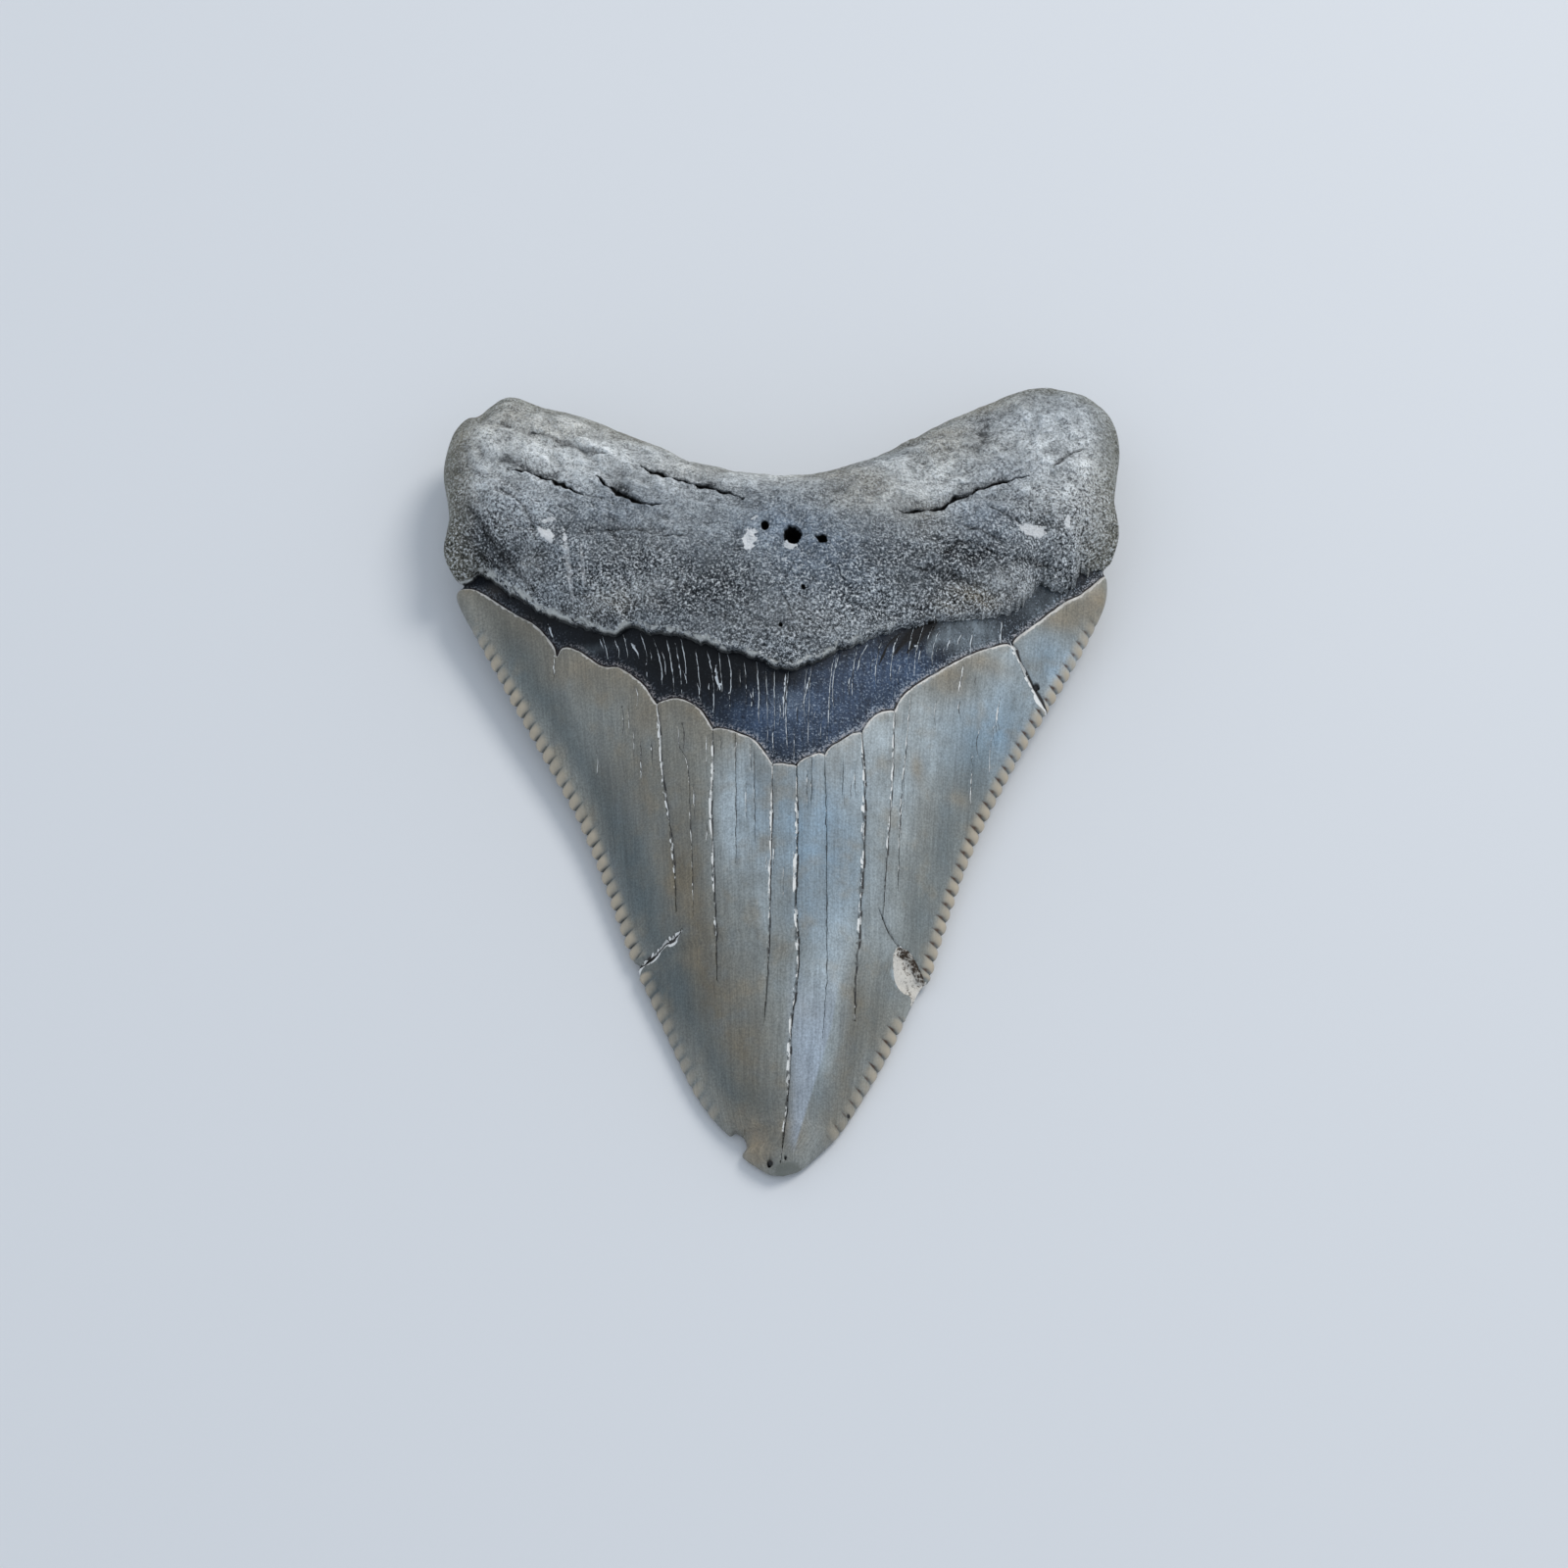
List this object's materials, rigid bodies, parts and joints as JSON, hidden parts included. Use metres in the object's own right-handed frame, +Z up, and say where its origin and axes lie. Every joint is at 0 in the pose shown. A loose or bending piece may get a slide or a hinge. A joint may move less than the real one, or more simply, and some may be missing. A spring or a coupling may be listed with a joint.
{
  "type": "megalodon tooth",
  "caption": "Broad triangular shark tooth with serrated cutting edges, a domed crown, a dark band under the root and blunt root lobes.",
  "frame": {"origin": "on the surface the tooth lies on, below the middle of its outline's box", "axes": "+Y from the tip to the root, +X to the right with the tip toward the viewer, +Z up, out of the domed lingual face"},
  "size_m": [0.0538, 0.0651, 0.0135],
  "materials": {
    "fossil_tooth": "satin enamel on the blade, matt grainy root"
  },
  "bodies": {
    "root": {"tooth": "fossil_tooth"}
  },
  "joints": []
}
